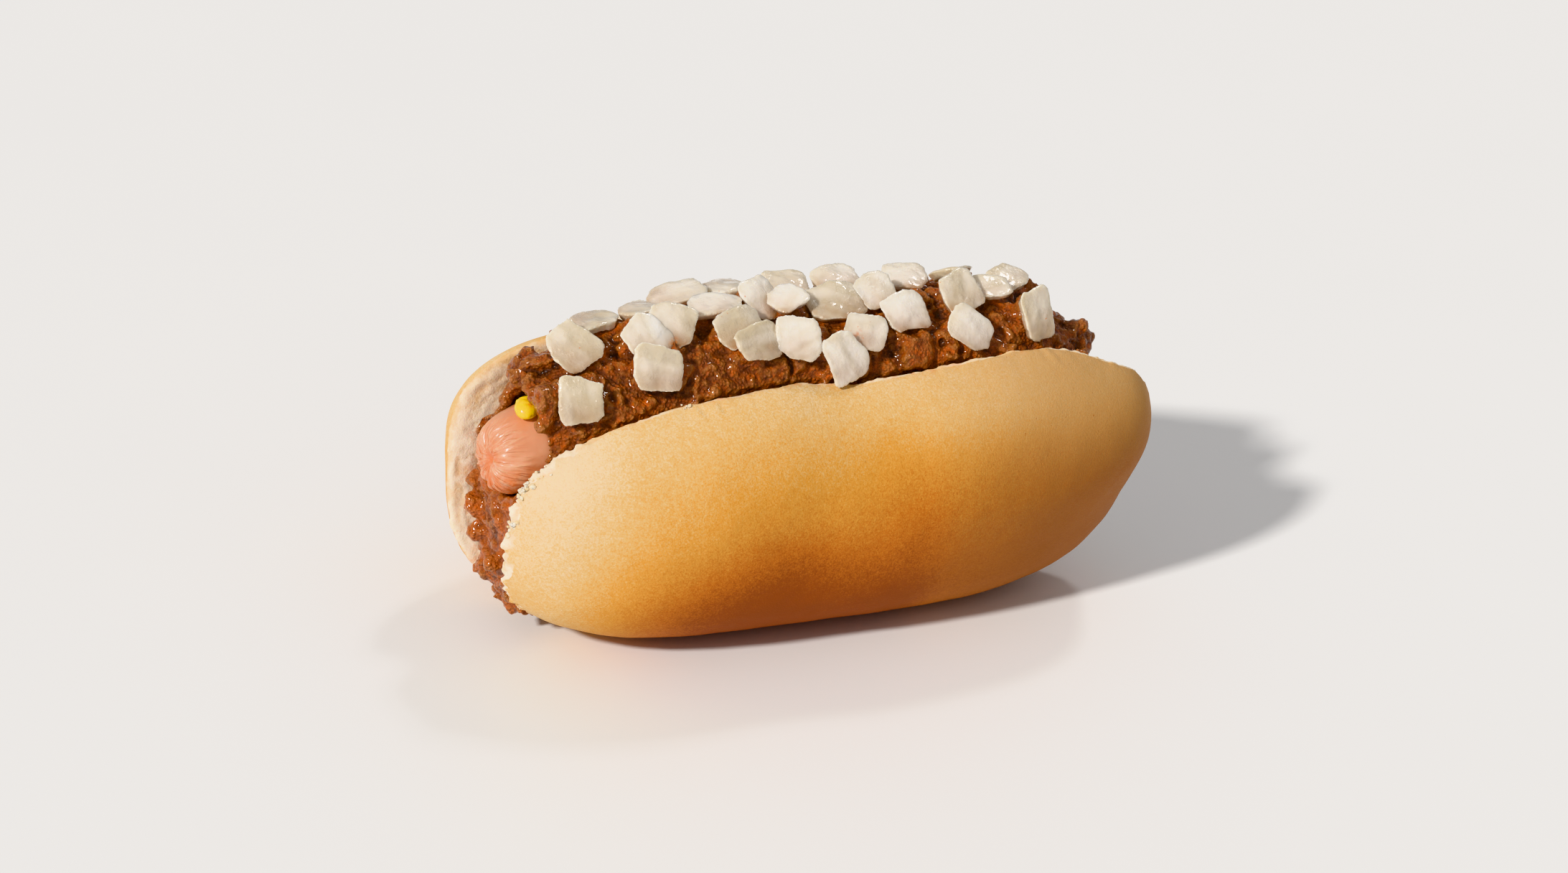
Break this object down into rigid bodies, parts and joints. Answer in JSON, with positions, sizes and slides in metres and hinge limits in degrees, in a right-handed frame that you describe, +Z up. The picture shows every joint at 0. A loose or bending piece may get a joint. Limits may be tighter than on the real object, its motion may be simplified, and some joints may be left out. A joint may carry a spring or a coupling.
{
  "type": "chili dog",
  "caption": "Hot dog in a soft bun split along its top, heaped with beef chili and diced raw onion, with the frankfurter's tip and a dab of mustard showing at one end.",
  "frame": {"origin": "on the surface that carries the bun, under the middle of the whole", "axes": "+Z up, +X along the bun away from the end that shows the frankfurter's tip, Y across the bun"},
  "size_m": [0.15, 0.0714, 0.0722],
  "materials": {
    "bun": "soft bread crust, pale at the lips and golden brown below",
    "frankfurter": "moist sausage skin",
    "chili": "wet ground beef in sauce",
    "mustard": "glossy",
    "onion": "wet, translucent raw onion"
  },
  "bodies": {
    "root": {"bun": "bun", "frankfurter": "frankfurter", "chili": "chili", "mustard": "mustard", "onion_01": "onion", "onion_02": "onion", "onion_03": "onion", "onion_04": "onion", "onion_05": "onion", "onion_06": "onion", "onion_07": "onion", "onion_08": "onion", "onion_09": "onion", "onion_10": "onion", "onion_11": "onion", "onion_12": "onion", "onion_13": "onion", "onion_14": "onion", "onion_15": "onion", "onion_16": "onion", "onion_17": "onion", "onion_18": "onion", "onion_19": "onion", "onion_20": "onion", "onion_21": "onion", "onion_22": "onion", "onion_23": "onion", "onion_24": "onion", "onion_25": "onion", "onion_26": "onion", "onion_27": "onion", "onion_28": "onion", "onion_29": "onion", "onion_30": "onion", "onion_31": "onion", "onion_32": "onion", "onion_33": "onion", "onion_34": "onion", "onion_35": "onion"}
  },
  "joints": []
}
